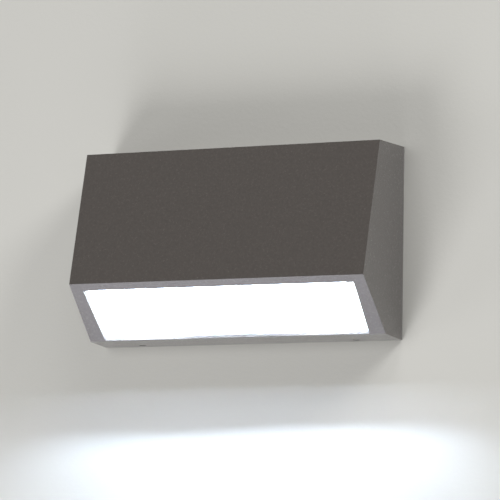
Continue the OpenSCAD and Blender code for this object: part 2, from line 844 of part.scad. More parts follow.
module gland_body()
    color([0.15, 0.15, 0.15])
    difference() {
        union() {
            rod_y(0, 0, collar_y, gland_y - cut, collar_r);
            hex_y(gland_y, gland_flange, gland_hex);
            rod_y(0, 0, cover_y + cut, cover_front - gland_inside, gland_thread / 2);
        }
        rod_y(0, 0, collar_y + cut, cover_front - gland_inside - cut, gland_thread / 2 - gland_wall);
        rod_y(0, 0, collar_y + cut, seal_y, seal_r);
    }

module gland_seal()
    color("black")
    difference() {
        union() {
            rod_y(0, 0, collar_y, seal_y, seal_r - thread_gap);
            rod_y(0, 0, dome_rear, collar_y, seal_r - seat_gap);
        }
        rod_y(0, 0, dome_y, seal_y - cut, gland_bore / 2);
    }

module gland_dome_nut()
    color([0.15, 0.15, 0.15])
    difference() {
        union() {
            hex_y(gland_y + dome_hex_l, dome_hex_l, gland_hex);
            rod_y(0, 0, dome_y, gland_y + dome_hex_l - cut, gland_hex / 2 - 1);
        }
        rod_y(0, 0, dome_rear, gland_y - cut, collar_r + thread_gap);
        rod_y(0, 0, dome_y + cut, gland_y, gland_bore / 2 + 0.6);
    }

module gland_locknut()
    color([0.15, 0.15, 0.15])
    difference() {
        hex_y(cover_front, locknut_t, gland_hex);
        rod_y(0, 0, cover_front + cut, cover_front - locknut_t - cut, gland_thread / 2 + thread_gap);
    }

module driver_case()
    color("whitesmoke")
    difference() {
        union() {
            block(
                [-driver_l / 2, driver_l / 2], [driver_front + driver_wall, foot_y],
                [driver_mid - driver_h / 2, driver_top]
            );
            for (side = [-1, 1])
                translate([side * ear_x, 0, driver_mid])
                    block([-ear_l / 2, ear_l / 2], [foot_y - ear_t, foot_y], [-driver_h / 5, driver_h / 5]);
        }
        block(
            [-driver_l / 2 + driver_wall, driver_l / 2 - driver_wall],
            [driver_front - cut, foot_y - driver_wall],
            [driver_mid - driver_h / 2 + driver_wall, driver_top - driver_wall]
        );
        for (x = [-ear_x, ear_x])
            rod_y(x, driver_mid, foot_y + cut, foot_y - ear_t - cut, small_screw / 2 + pass_gap);
        for (z = [-entry_z, entry_z])
            translate([-driver_l / 2 - cut, entry_y, driver_mid + z])
                rotate([0, 90, 0]) {
                    cylinder(h = driver_wall + 2 * cut, r = wire_dia / 2 + seat_gap);
                    translate([0, 0, driver_l - driver_wall])
                        cylinder(h = driver_wall + 2 * cut, r = lead_dia / 2 + seat_gap);
                }
    }

module driver_lid()
    color("whitesmoke")
    difference() {
        union() {
            block(
                [-driver_l / 2, driver_l / 2], [driver_front, driver_front + driver_wall],
                [driver_mid - driver_h / 2, driver_top]
            );
            block(
                [-driver_l / 2 + driver_wall + seat_gap, driver_l / 2 - driver_wall - seat_gap],
                [driver_front + driver_wall / 2, driver_front + 2 * driver_wall],
                [driver_mid - driver_h / 2 + driver_wall + seat_gap, driver_top - driver_wall - seat_gap]
            );
        }
        block(
            [-driver_l / 2 + 2 * driver_wall + seat_gap, driver_l / 2 - 2 * driver_wall - seat_gap],
            [driver_front + driver_wall, driver_front + 3 * driver_wall],
            [driver_mid - driver_h / 2 + 2 * driver_wall + seat_gap, driver_top - 2 * driver_wall - seat_gap]
        );
    }

module driver_board()
    color("seagreen")
    union() {
        block(
            [-pcb_l / 2, pcb_l / 2], [pcb_front, pcb_rear],
            [driver_mid - pcb_h / 2, driver_mid + pcb_h / 2]
        );
        for (x = [-1, 1], z = [-1, 1])
            rod_y(
                x * (pcb_l / 2 - pcb_rise), driver_mid + z * (pcb_h / 2 - pcb_rise),
                foot_y - driver_wall, pcb_rear - pcb_t / 2, pcb_rise / 2
            );
    }

// The winding stands between the two end plates of the core
module driver_transformer() {
    core_t = core_w / 8;
    color("goldenrod")
    translate([0, pcb_front, driver_mid]) {
        rotate([90, 0, 0]) cylinder(h = parts_h - 1, d = winding_dia);
        block([-core_w / 2, core_w / 2], [-parts_h, 0], [-winding_dia / 4, winding_dia / 4]);
        for (side = [-1, 1])
            translate([side * (core_w - core_t) / 2, 0, 0])
                block(
                    [-core_t / 2, core_t / 2], [-parts_h, 0],
                    [-winding_dia / 2 - 1, winding_dia / 2 + 1]
                );
    }
}

module driver_capacitors()
    color("midnightblue")
    for (x = [-cap_x, cap_x])
        rod_y(x, driver_mid, pcb_front, pcb_front - parts_h, cap_dia / 2);

// A drum core: a waist for the winding between two flanges
module driver_choke() {
    h = 0.8 * parts_h;
    flange = h / 8;
    color("saddlebrown")
    translate([-choke_x, pcb_front, driver_mid])
        rotate([90, 0, 0])
            for (z = [0, h - flange])
                union() {
                    cylinder(h = h, d = choke_dia - 2 * flange);
                    translate([0, 0, z]) cylinder(h = flange, d = choke_dia);
                }
}

module driver_screws()
    color("silver")
    for (x = [-ear_x, ear_x])
        front_screw(x, driver_mid, foot_y - ear_t, small_screw, ear_t + foot_h + cover_t / 4);

module terminal_block()
    color("whitesmoke")
    translate([0, 0, term_mid])
        difference() {
            block(
                [-term_x - term_w / 2, -term_x + term_w / 2], [foot_y - term_d, foot_y],
                [-term_h / 2, term_h / 2]
            );
            for (x = pole_xs) {
                translate([x, term_y, 0])
                    cube([clamp_w + seat_gap, clamp_w + seat_gap, term_h + 2 * cut], center = true);
                for (z = [-clamp_screw_z, clamp_screw_z])
                    rod_y(x, z, term_y, foot_y - term_d - cut, clamp_screw / 2 + pass_gap);
            }
            for (x = term_screw_xs) {
                rod_y(x, 0, foot_y + cut, foot_y - term_d - cut, small_screw / 2 + pass_gap);
                rod_y(x, 0, term_y, foot_y - term_d - cut, head_r(small_screw) + thread_gap);
            }
        }

module terminal_clamps()
    color("gold")
    translate([0, 0, term_mid])
        for (x = pole_xs)
            difference() {
                translate([x, term_y, 0]) cube([clamp_w, clamp_w, term_h - 2], center = true);
                translate([x, term_y, -term_h]) cylinder(h = 2 * term_h, d = clamp_bore);
                for (z = [-clamp_screw_z, clamp_screw_z])
                    rod_y(x, z, term_y, term_y - clamp_w, clamp_screw / 2 + thread_gap);
            }

// Slotted clamp screws, their heads sunk in the block and their ends on the wires
module terminal_screws() {
    head_y = foot_y - term_d + screw_end;
    color("silver")
    for (x = pole_xs, z = [-clamp_screw_z, clamp_screw_z])
        difference() {
            rod_y(x, term_mid + z, term_y - wire_dia / 2, head_y, clamp_screw / 2);
            translate([x, head_y, term_mid + z])
                cube([clamp_screw + cut, clamp_screw / 2, clamp_screw / 5], center = true);
        }
}

module terminal_block_screws()
    color("silver")
    for (x = term_screw_xs)
        front_screw(x, term_mid, term_y, small_screw, term_d / 2 + foot_h + cover_t / 4);

// A mains wire from a pole of the terminal block into the driver's left end; row is 1 for the
// upper entry and -1 for the lower one
module mains_wire(x, row) {
    z_in = driver_mid + row * entry_z;
    end_x = -driver_l / 2;
    wire([
        [x, term_y, term_mid + wire_dia / 4],
        [x, term_y, term_top + wire_out],
        [x, entry_y, (term_top + z_in) / 2],
        [end_x - (2.5 + row) * wire_out, entry_y, z_in],
        [end_x - wire_out / 2, entry_y, z_in],
        [end_x + wire_end, entry_y, z_in],
        [end_x + wire_end, pcb_front, z_in]
    ], wire_dia, [0.25, 1, 0.4]);
}
module line_wire() color("saddlebrown") mains_wire(pole_xs[0], 1);
module neutral_wire() color("royalblue") mains_wire(pole_xs[1], -1);

module earth_wire()
    color("yellowgreen")
    wire([
        [pole_xs[poles - 1], term_y, term_mid + wire_dia / 4],
        [pole_xs[poles - 1], term_y, term_top + wire_out],
        [pole_xs[poles - 1] + wire_out, term_y, term_top + 2 * wire_out],
        [-earth_x, term_y, term_top + wire_out],
        [-earth_x, barrel_y, barrel_z + barrel_l + wire_out],
        [-earth_x, barrel_y, barrel_z + 1]
    ], wire_dia, [0.25, 1, 0.1]);

module earth_lug()
    color("gainsboro")
    difference() {
        union() {
            rod_y(-earth_x, post_z, reflector_y + lug_t, reflector_y, lug_r);
            block(
                [-earth_x - wire_dia / 2, -earth_x + wire_dia / 2], [reflector_y, reflector_y + lug_t],
                [post_z, barrel_z + 1]
            );
            translate([-earth_x, barrel_y, barrel_z])
                cylinder(h = barrel_l, d = wire_dia + 2 * barrel_wall);
        }
        rod_y(
            -earth_x, post_z, reflector_y + lug_t + cut, reflector_y - cut,
            carrier_screw_dia / 2 + pass_gap / 2
        );
        translate([-earth_x, barrel_y, barrel_z + lug_t])
            cylinder(h = barrel_l, d = wire_dia + 2 * thread_gap);
    }

module earth_screw()
    color("gold")
    rear_screw(
        -earth_x, post_z, reflector_y + lug_t, carrier_screw_dia,
        carrier_t + lug_t + screw_end
    );

wall_plate();
cable_hole_bush();
housing();
glass_window();
window_gasket();
reflector();
led_carrier();
carrier_screws();
thermal_pad();
led_board();
led_packages();
led_connector();
lead_grommet();
led_lead_positive();
led_lead_negative();
rear_cover();
cover_gasket();
cover_screws();
set_screws();
gland_body();
gland_seal();
gland_dome_nut();
gland_locknut();
driver_case();
driver_lid();
driver_board();
driver_transformer();
driver_capacitors();
driver_choke();
driver_screws();
terminal_block();
terminal_clamps();
terminal_screws();
terminal_block_screws();
line_wire();
neutral_wire();
earth_wire();
earth_lug();
earth_screw();
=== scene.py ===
"""Looks of the wall step light: materials, edges, wall, lamps and camera round the CAD frame."""

import json
import math

import bpy
from mathutils import Matrix, Vector

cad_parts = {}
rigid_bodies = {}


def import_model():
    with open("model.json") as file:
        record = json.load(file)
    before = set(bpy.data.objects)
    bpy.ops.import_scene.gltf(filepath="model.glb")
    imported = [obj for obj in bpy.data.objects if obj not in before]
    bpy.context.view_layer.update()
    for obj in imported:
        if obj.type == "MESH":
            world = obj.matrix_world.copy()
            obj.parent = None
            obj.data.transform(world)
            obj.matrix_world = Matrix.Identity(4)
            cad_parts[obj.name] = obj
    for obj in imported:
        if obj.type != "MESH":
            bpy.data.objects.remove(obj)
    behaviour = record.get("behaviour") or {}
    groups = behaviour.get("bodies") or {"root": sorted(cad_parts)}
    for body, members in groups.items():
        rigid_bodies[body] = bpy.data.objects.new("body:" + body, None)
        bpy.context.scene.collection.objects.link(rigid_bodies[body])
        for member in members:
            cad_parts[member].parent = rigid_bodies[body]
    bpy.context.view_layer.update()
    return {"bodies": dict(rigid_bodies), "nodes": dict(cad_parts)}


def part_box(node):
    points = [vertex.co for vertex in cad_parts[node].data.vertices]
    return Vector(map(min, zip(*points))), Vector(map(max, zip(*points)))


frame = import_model()
nodes = frame["nodes"]

# Colours are written as they look on a screen, 0 to 255
WALL = (200, 199, 194)
WORLD = (255, 254, 250)
LAMP_WHITE = (255, 255, 255)
LED_LIGHT = (217, 230, 255)
GROUND_LIGHT = (238, 239, 251)
COAT = (72, 67, 64)
ZINC_SHEET = (172, 176, 178)
ZINC_PLATING = (196, 199, 203)
STAINLESS = (186, 184, 180)
ALUMINIUM = (196, 198, 200)
BRASS = (214, 178, 98)
TINNED = (206, 204, 200)
GLASS = (250, 253, 251)
WHITE_REFLECTOR = (236, 237, 235)
WHITE_PLASTIC = (232, 232, 228)
WHITE_SILICONE = (226, 226, 222)
GREY_SILICONE = (146, 148, 149)
BLACK_RUBBER = (34, 34, 35)
BLACK_NYLON = (38, 38, 40)
FERRITE = (52, 52, 56)
WHITE_BOARD = (228, 229, 226)
GREEN_BOARD = (26, 92, 56)
CERAMIC = (238, 236, 228)
PHOSPHOR = (236, 196, 92)
PALE_PHOSPHOR = (248, 214, 120)
# The colour of the painted glow on the white chamber, which stands in for the LEDs' light on it
PAINTED_GLOW_COLOUR = (244, 248, 255)
LED_LIT = (246, 249, 255)
TAPE = (214, 172, 44)
SLEEVE = (28, 34, 46)
SLEEVE_STRIPE = (150, 156, 164)
WIRE_WHITE = (228, 227, 222)
WIRE_RED = (178, 40, 36)
WIRE_BROWN = (96, 56, 34)
WIRE_BLUE = (44, 110, 176)
WIRE_GREEN = (36, 132, 58)
WIRE_YELLOW = (226, 204, 48)

# Brightness of the LEDs, and of the painted glow on the white chamber that stands in for their
# light on it, to the eye
LED_GLOW = 12.0
PAINTED_CHAMBER_GLOW = 1.2

# The LED row, in metres: pitch, Y, and the phosphor's radius
LED_PITCH = 0.0164
LED_Y = -0.051
PHOSPHOR_R = 0.00135

# The capacitors' pale stripe, in metres: height, and half widths where it starts and ends to fade
STRIPE_Z = 0.044
STRIPE_FULL = 0.0006
STRIPE_FADED = 0.0008

# How edges are rounded, in metres and in degrees between faces
WELD_LENGTH = 1e-6
SAME_FACE_ANGLE = 0.4
ROUNDED_ANGLE = 32
SHARP_ANGLE = 50

# The wall, in metres: half its width, its Y, and how far its opening reaches past the housing
WALL_HALF = 4
WALL_Y = 0.0001
OPENING_MARGIN = 0.001
# The patch that closes the opening to the eye: its Y, and how far it reaches past the housing
BACKING_Y = 0.0002
BACKING_MARGIN = 0.003

# Strength of the even light from all round
WORLD_STRENGTH = 0.078

# Each softbox: name, azimuth from the wall's normal and elevation in degrees, diameter, power
SOFTBOXES = [
    ("front", -10, 5, 0.9, 11.0),
    ("low_left", -30, -45, 0.9, 21.5),
    ("left", -60, -20, 0.9, 5.2),
    ("high", 30, 65, 0.9, 14.6),
    ("high_right", 65, 40, 0.9, 35.0),
    ("below", 0, -75, 1.4, 14.5),
]
# The ground under the lamp, lit by its LEDs, which the window's frame mirrors
GROUND_BOXES = [
    ("ground", -60, -72, 0.9, 12.0),
    ("ground_left", -85, -60, 0.6, 5.0),
]
BOX_DISTANCE = 2.2

# The lamps that throw the LEDs' light down the wall.
# Each has its name, middle (X, Y), length, width, power, and lean in degrees.
# The row leans as its cut-off on the wall does in the photo.
# The white ends of the chamber throw the row's light back.
# The lit ceiling stands a little further out than it is, as the glass shifts it.
DOWNLIGHTS = [
    ("led_row", (0.0, -0.0503), 0.181, 0.0045, 1.05, -0.65),
    ("chamber_end_left", (-0.08, -0.0496), 0.022, 0.0045, 0.36, 0.0),
    ("chamber_end_right", (0.08, -0.0515), 0.022, 0.0045, 0.3, 0.0),
    ("chamber_ceiling", (0.0, -0.0654), 0.205, 0.0102, 0.37, 0.0),
]
# How far under the LED packages they hang, in metres
BELOW_PACKAGES = 0.0002

# Camera at the photograph's angle, in degrees and metres, and its lens and sensor in millimetres
AZIMUTH, ELEVATION, ROLL = 22.797, -7.701, 1.003
DISTANCE = 2.43155
AIM = Vector((-0.00289, 0, -0.00063))
LENS = 223.216
SENSOR = 36


def linear(rgb):
    """A screen colour as the linear colour that shader sockets take."""
    out = []
    for c in rgb:
        c /= 255
        out.append(c / 12.92 if c <= 0.04045 else ((c + 0.055) / 1.055) ** 2.4)
    return (*out, 1.0)


class Finish:
    """One procedural material: a Principled shader and the textures that feed it.

    Texture scales are in features per metre, and bump depths in metres.
    """

    def __init__(self, name, colour, rough=0.5, metal=0.0, **sockets):
        self.material = bpy.data.materials.new(name)
        self.material.use_nodes = True
        self.tree = self.material.node_tree
        self.tree.nodes.clear()
        self.out = self.tree.nodes.new("ShaderNodeOutputMaterial")
        self.shader = self.tree.nodes.new("ShaderNodeBsdfPrincipled")
        self.tree.links.new(self.shader.outputs[0], self.out.inputs["Surface"])
        self.coords = self.tree.nodes.new("ShaderNodeTexCoord").outputs["Object"]
        self.colour = linear(colour)
        self.shader.inputs["Base Color"].default_value = self.colour
        self.shader.inputs["Roughness"].default_value = rough
        self.shader.inputs["Metallic"].default_value = metal
        for socket, value in sockets.items():
            self.shader.inputs[socket.replace("_", " ")].default_value = value

    def node(self, kind, inputs=(), **settings):
        """A node with its settings, and its inputs set to numbers or linked to sockets."""
        n = self.tree.nodes.new("ShaderNode" + kind)
        for key, value in settings.items():
            setattr(n, key, value)
        for key, value in dict(inputs).items():
            self.feed(n.inputs[key], value)
        return n

    def feed(self, socket, value):
        """Links a socket to another one, or sets it to a number or colour."""
        if isinstance(value, bpy.types.NodeSocket):
            self.tree.links.new(value, socket)
        else:
            socket.default_value = value

    def stretched(self, scale, turn=(0, 0, 0)):
        """The object's coordinates, stretched and turned."""
        n = self.node("Mapping", {"Vector": self.coords})
        n.inputs["Scale"].default_value = scale
        n.inputs["Rotation"].default_value = turn
        return n.outputs[0]

    def noise(self, scale, detail=2.0, rough=0.5, coords=None, distortion=0.0):
        """Cloudy noise around 0.5."""
        inputs = {
            "Vector": coords or self.coords,
            "Scale": scale,
            "Detail": detail,
            "Roughness": rough,
            "Distortion": distortion,
        }
        return self.node("TexNoise", inputs).outputs["Fac"]

    def cells(self, scale, output, coords=None, feature="F1", spread=1.0):
        """Voronoi cells, from a regular grid at spread 0 to scattered at 1."""
        inputs = {"Vector": coords or self.coords, "Scale": scale, "Randomness": spread}
        return self.node("TexVoronoi", inputs, feature=feature).outputs[output]

    def waves(self, scale, direction, distortion=0.0):
        """Smooth bands across a direction."""
        inputs = {"Vector": self.coords, "Scale": scale, "Distortion": distortion, "Detail": 0.0}
        return self.node("TexWave", inputs, bands_direction=direction).outputs["Fac"]

    def math(self, operation, a, b=0.0):
        """A value worked out from one or two others."""
        n = self.node("Math", operation=operation)
        self.feed(n.inputs[0], a)
        self.feed(n.inputs[1], b)
        return n.outputs[0]

    def weighed(self, a, share, b):
        """A share of one value plus the rest of another."""
        rest = round(1 - share, 6)
        return self.math("ADD", self.math("MULTIPLY", a, share), self.math("MULTIPLY", b, rest))

    def span(self, value, low, high, to_low=0.0, to_high=1.0):
        """A value taken from one range to another, and kept inside it."""
        inputs = {
            "Value": value,
            "From Min": low,
            "From Max": high,
            "To Min": to_low,
            "To Max": to_high,
        }
        return self.node("MapRange", inputs).outputs["Result"]

    def blend(self, share, a, b):
        """Two colours mixed by a share from 0 to 1."""
        n = self.node("Mix", data_type="RGBA")
        self.feed(n.inputs["Factor"], share)
        self.feed(n.inputs["A"], a)
        self.feed(n.inputs["B"], b)
        return n.outputs["Result"]

    def shade(self, share, darker, lighter):
        """The base colour times a number from darker to lighter, by a share from 0 to 1."""
        dark = tuple(c * darker for c in self.colour[:3]) + (1.0,)
        light = tuple(min(1.0, c * lighter) for c in self.colour[:3]) + (1.0,)
        self.set(Base_Color=self.blend(share, dark, light))

    def set(self, **sockets):
        """Feeds the shader's own sockets."""
        for socket, value in sockets.items():
            self.feed(self.shader.inputs[socket.replace("_", " ")], value)

    def glow(self, colour, strength):
        """Light of its own, the same all over unless the strength is a socket."""
        self.shader.inputs["Emission Color"].default_value = linear(colour)
        self.set(Emission_Strength=strength)

    def bump(self, *layers):
        """Layers of (height socket, depth in metres), the first one the lowest."""
        normal = None
        for height, depth in layers:
            inputs = {"Height": height, "Distance": depth, "Strength": 1.0}
            if normal is not None:
                inputs["Normal"] = normal
            normal = self.node("Bump", inputs).outputs[0]
        self.set(Normal=normal)
        return self

    def clear_where(self, share, colour=(1.0, 1.0, 1.0, 1.0)):
        """The finished surface, but light goes straight on where the share is 1."""
        through = self.node("BsdfTransparent", {"Color": colour})
        mixed = self.node("MixShader")
        for socket, value in zip(mixed.inputs, (share, self.shader.outputs[0], through.outputs[0])):
            self.feed(socket, value)
        self.feed(self.out.inputs["Surface"], mixed.outputs[0])

    def place(self):
        """The three coordinates apart."""
        return self.node("SeparateXYZ", {"Vector": self.coords}).outputs


def powder_coat():
    """Fine-textured polyester powder coat: a sandy grain that breaks up the light."""
    f = Finish("dark_powder_coat_finish", COAT, Sheen_Weight=0.75, Sheen_Roughness=0.32)
    grain = f.cells(1500, "Distance", f.stretched((1, 1, 1), (0.4, 0.3, 0.2)))
    fine = f.noise(2600, 3, 0.6)
    mottle = f.noise(520, 3, 0.65)
    f.shade(f.weighed(fine, 0.4, mottle), 0.5, 1.5)
    f.set(Roughness=f.span(f.math("ADD", fine, mottle), 0.6, 1.4, 0.18, 0.3))
    return f.bump((mottle, 0.00003), (grain, 0.00004), (fine, 0.00003))


def zinc(name, colour, rough, tint):
    """Bright plating: a faint blue and yellow cast that drifts, with fine scratches."""
    f = Finish(name, colour, rough, 1.0)
    drift = f.noise(160, 2)
    scratch = f.noise(900, 3, 0.7, f.stretched((1, 1, 0.08)))
    warm, cool = (
        tuple(c * (1 + tint * k) for c, k in zip(f.colour[:3], cast)) + (1.0,)
        for cast in ((0.06, 0.0, -0.14), (-0.1, -0.02, 0.06))
    )
    f.set(Base_Color=f.blend(f.span(drift, 0.35, 0.65), cool, warm))
    f.set(Roughness=f.span(scratch, 0.3, 0.7, rough * 0.75, rough * 1.35))
    return f.bump((scratch, 0.000008))


def galvanised():
    """Hot-dip zinc on sheet steel: angular spangles, each with its own sheen."""
    f = Finish("galvanised_steel_finish", ZINC_SHEET, 0.42, 1.0)
    warp = f.noise(60, 2)
    bent = f.node("VectorMath", operation="MULTIPLY_ADD")
    f.feed(bent.inputs[0], f.node("CombineXYZ", dict.fromkeys("XYZ", warp)).outputs[0])
    bent.inputs[1].default_value = (0.006, 0.006, 0.006)
    f.feed(bent.inputs[2], f.coords)
    spangle = f.node("SeparateColor", {"Color": f.cells(110, "Color", bent.outputs[0])}).outputs[0]
    feather = f.noise(700, 3, 0.6, f.stretched((1, 1, 0.25), (0, 0.5, 0)))
    f.shade(f.weighed(spangle, 0.6, feather), 0.82, 1.08)
    f.set(Roughness=f.span(spangle, 0, 1, 0.36, 0.5))
    return f.bump((spangle, 0.00001), (feather, 0.00001))


def brushed(name, colour, rough):
    """Milled or drawn aluminium with long fine lines along X."""
    f = Finish(name, colour, rough, 1.0)
    lines = f.noise(2400, 3, 0.6, f.stretched((0.02, 1, 1)))
    f.shade(f.weighed(lines, 0.6, f.noise(40, 3)), 0.84, 1.1)
    f.set(Roughness=f.span(lines, 0.25, 0.75, rough * 0.8, rough * 1.3))
    return f.bump((lines, 0.000012))


def moulded(name, colour, rough, grain=0.00002, scale=1400, contrast=0.06):
    """Moulded plastic or rubber: a spark-eroded skin with soft flow marks."""
    f = Finish(name, colour, rough)
    skin = f.noise(scale, 3, 0.6)
    flow = f.noise(70, 2, 0.5, f.stretched((1, 1, 2.2)), 1.2)
    f.shade(f.weighed(skin, 0.5, flow), 1 - contrast, 1 + contrast)
    f.set(Roughness=f.span(skin, 0.3, 0.7, rough * 0.85, min(1.0, rough * 1.2)))
    return f.bump((skin, grain))


def insulation(name, colour, stripe=None, share=0.5):
    """Satin wire insulation with the faint lines of its die, a share of it in a second colour."""
    f = Finish(name, colour, 0.36, Coat_Weight=0.25, Coat_Roughness=0.3)
    lines = f.noise(1500, 2, 0.5, f.stretched((1, 1, 0.1)))
    if stripe:
        band = f.span(f.waves(120, "DIAGONAL"), 0.97 - share, 1.03 - share)
        f.set(Base_Color=f.blend(band, f.colour, linear(stripe)))
    else:
        f.shade(lines, 0.86, 1.12)
    f.set(Roughness=f.span(lines, 0.3, 0.7, 0.28, 0.46))
    return f.bump((lines, 0.00001))


def circuit(name, colour, traces, width):
    """Solder mask over copper: tracks stand a little proud and show paler."""
    f = Finish(name, colour, 0.35, Coat_Weight=0.4, Coat_Roughness=0.15)
    edge = f.cells(traces, "Distance", feature="DISTANCE_TO_EDGE", spread=0.25)
    track = f.span(edge, width * 0.8, width, 1, 0)
    dust = f.noise(1800, 2)
    f.shade(f.weighed(track, 0.7, dust), 0.85, 1.25)
    f.set(Roughness=f.span(dust, 0.3, 0.7, 0.28, 0.45))
    return f.bump((track, 0.00004), (dust, 0.000006))


def clear_glass():
    """Toughened glass. Lamps and LEDs shine through it unbent, as through a flat pane."""
    f = Finish("clear_glass_finish", GLASS, 0.02, IOR=1.5, Transmission_Weight=1.0)
    f.set(Roughness=f.span(f.noise(35, 3), 0.4, 0.7, 0.0, 0.04))
    f.clear_where(f.node("LightPath").outputs["Is Shadow Ray"], (0.95, 0.97, 0.96, 1))
    return f.bump((f.noise(18, 1), 0.000004))


def reflector_with_painted_glow():
    """Glossy white reflector plastic with a painted glow of its own, which stands in for the LEDs'
    light falling on it.
    """
    f = moulded("white_reflector_painted_glow_finish", WHITE_REFLECTOR, 0.3, 0.000008, 900, 0.02)
    # Painted light: the reflector glows though it is no lamp, in place of the LEDs' light on it
    f.glow(PAINTED_GLOW_COLOUR, PAINTED_CHAMBER_GLOW)
    return f


def led_phosphor():
    """White ceramic package with a round glowing phosphor window."""
    f = Finish("led_phosphor_finish", CERAMIC, 0.4)
    x, y, _ = f.place()
    along = f.math("SUBTRACT", f.math("FLOORED_MODULO", x, LED_PITCH), LED_PITCH / 2)
    across = f.math("SUBTRACT", y, LED_Y)
    squares = (f.math("POWER", side, 2.0) for side in (along, across))
    from_middle = f.math("SQRT", f.math("ADD", *squares))
    disc = f.span(from_middle, PHOSPHOR_R * 0.92, PHOSPHOR_R, 1, 0)
    grain = f.noise(5000, 2)
    phosphor = f.blend(grain, linear(PHOSPHOR), linear(PALE_PHOSPHOR))
    f.set(Base_Color=f.blend(disc, f.colour, phosphor))
    f.glow(LED_LIT, f.math("MULTIPLY", disc, LED_GLOW))
    return f.bump((grain, 0.00001))


def brass(name, colour, rough):
    """Turned brass or tinned copper, dulled in patches."""
    f = Finish(name, colour, rough, 1.0)
    turned = f.noise(1600, 2, 0.6, f.stretched((1, 0.1, 1)))
    tarnish = f.noise(220, 3)
    f.shade(f.weighed(turned, 0.5, tarnish), 0.78, 1.1)
    f.set(Roughness=f.span(tarnish, 0.3, 0.7, rough * 0.8, rough * 1.4))
    return f.bump((turned, 0.000008))


def winding_tape():
    """Polyester tape in overlapping turns round the winding."""
    f = Finish("winding_tape_finish", TAPE, 0.3, Coat_Weight=0.5, Coat_Roughness=0.2)
    laps = f.waves(95, "Z", 0.4)
    crease = f.noise(500, 3)
    f.shade(f.weighed(laps, 0.6, crease), 0.74, 1.1)
    return f.bump((laps, 0.00008), (crease, 0.00003))


def sleeve():
    """Shrink sleeve of an electrolytic capacitor, with the pale stripe on its negative side."""
    f = Finish("capacitor_sleeve_finish", SLEEVE, 0.32, Coat_Weight=0.5, Coat_Roughness=0.25)
    from_stripe = f.math("ABSOLUTE", f.math("SUBTRACT", f.place()["Z"], STRIPE_Z))
    stripe = f.span(from_stripe, STRIPE_FULL, STRIPE_FADED, 1, 0)
    wrinkle = f.noise(900, 3, 0.6, f.stretched((1, 0.2, 1)))
    f.set(Base_Color=f.blend(stripe, f.colour, linear(SLEEVE_STRIPE)))
    f.set(Roughness=f.span(wrinkle, 0.3, 0.7, 0.25, 0.42))
    return f.bump((wrinkle, 0.00002))


# Each finish, how far its edges are rounded in metres, and the CAD nodes that have it
FINISHES = [
    (powder_coat(), 0.00045, ["housing"]),
    (galvanised(), 0.0002, ["wall_plate"]),
    (moulded("black_rubber_finish", BLACK_RUBBER, 0.72), 0.0002, ["cable_hole_bush", "gland_seal"]),
    (moulded("white_silicone_finish", WHITE_SILICONE, 0.5, 0.00001), 0.0001, ["lead_grommet"]),
    (clear_glass(), 0.00035, ["glass_window"]),
    (
        moulded("grey_silicone_finish", GREY_SILICONE, 0.55, 0.00001),
        0.0001,
        ["window_gasket", "thermal_pad", "cover_gasket"],
    ),
    # The reflector carries painted light, a glow in place of the LEDs' light on it
    (reflector_with_painted_glow(), 0.0003, ["reflector"]),
    (
        moulded("white_plastic_finish", WHITE_PLASTIC, 0.42),
        0.0003,
        ["led_connector", "driver_case", "driver_lid", "terminal_block"],
    ),
    (brushed("plain_aluminium_finish", ALUMINIUM, 0.34), 0.0003, ["led_carrier", "rear_cover"]),
    (
        zinc("zinc_plated_finish", ZINC_PLATING, 0.3, 1.0),
        0.00015,
        [
            "carrier_screws",
            "cover_screws",
            "driver_screws",
            "terminal_screws",
            "terminal_block_screws",
        ],
    ),
    (zinc("stainless_finish", STAINLESS, 0.32, 0.3), 0.00012, ["set_screws"]),
    (circuit("white_board_finish", WHITE_BOARD, 190, 0.05), 0.0001, ["led_board"]),
    (led_phosphor(), 0.00008, ["led_packages"]),
    (
        insulation("traced_white_insulation_finish", WIRE_WHITE, WIRE_RED, 0.14),
        0,
        ["led_lead_positive"],
    ),
    (insulation("white_insulation_finish", WIRE_WHITE), 0, ["led_lead_negative"]),
    (insulation("brown_insulation_finish", WIRE_BROWN), 0, ["line_wire"]),
    (insulation("blue_insulation_finish", WIRE_BLUE), 0, ["neutral_wire"]),
    (insulation("green_insulation_finish", WIRE_GREEN, WIRE_YELLOW), 0, ["earth_wire"]),
    (
        moulded("black_nylon_finish", BLACK_NYLON, 0.46),
        0.00025,
        ["gland_body", "gland_dome_nut", "gland_locknut"],
    ),
    (circuit("green_board_finish", GREEN_BOARD, 260, 0.06), 0.0001, ["driver_board"]),
    (winding_tape(), 0.0002, ["driver_transformer"]),
    (sleeve(), 0.0003, ["driver_capacitors"]),
    (
        moulded("dark_ferrite_finish", FERRITE, 0.6, 0.00003, 2200, 0.2),
        0.0003,
        ["driver_choke"],
    ),
    (brass("plain_brass_finish", BRASS, 0.3), 0.00012, ["terminal_clamps", "earth_screw"]),
    (brass("tinned_copper_finish", TINNED, 0.34), 0.00008, ["earth_lug"]),
]


def sharp_edges(angle):
    """Geometry nodes that mark edges over an angle as sharp, so that flat faces stay flat."""
    group = bpy.data.node_groups.new("sharp_edges", "GeometryNodeTree")
    for way in ("INPUT", "OUTPUT"):
        group.interface.new_socket("Geometry", in_out=way, socket_type="NodeSocketGeometry")
    start = group.nodes.new("NodeGroupInput")
    end = group.nodes.new("NodeGroupOutput")
    turn = group.nodes.new("GeometryNodeInputMeshEdgeAngle")
    over = group.nodes.new("FunctionNodeCompare")
    over.operation = "GREATER_THAN"
    over.inputs["B"].default_value = angle
    mark = group.nodes.new("GeometryNodeSetShadeSmooth")
    mark.domain = "EDGE"
    mark.inputs["Shade Smooth"].default_value = False
    group.links.new(start.outputs[0], mark.inputs["Geometry"])
    group.links.new(turn.outputs["Unsigned Angle"], over.inputs["A"])
    group.links.new(over.outputs[0], mark.inputs["Selection"])
    group.links.new(mark.outputs[0], end.inputs[0])
    return group


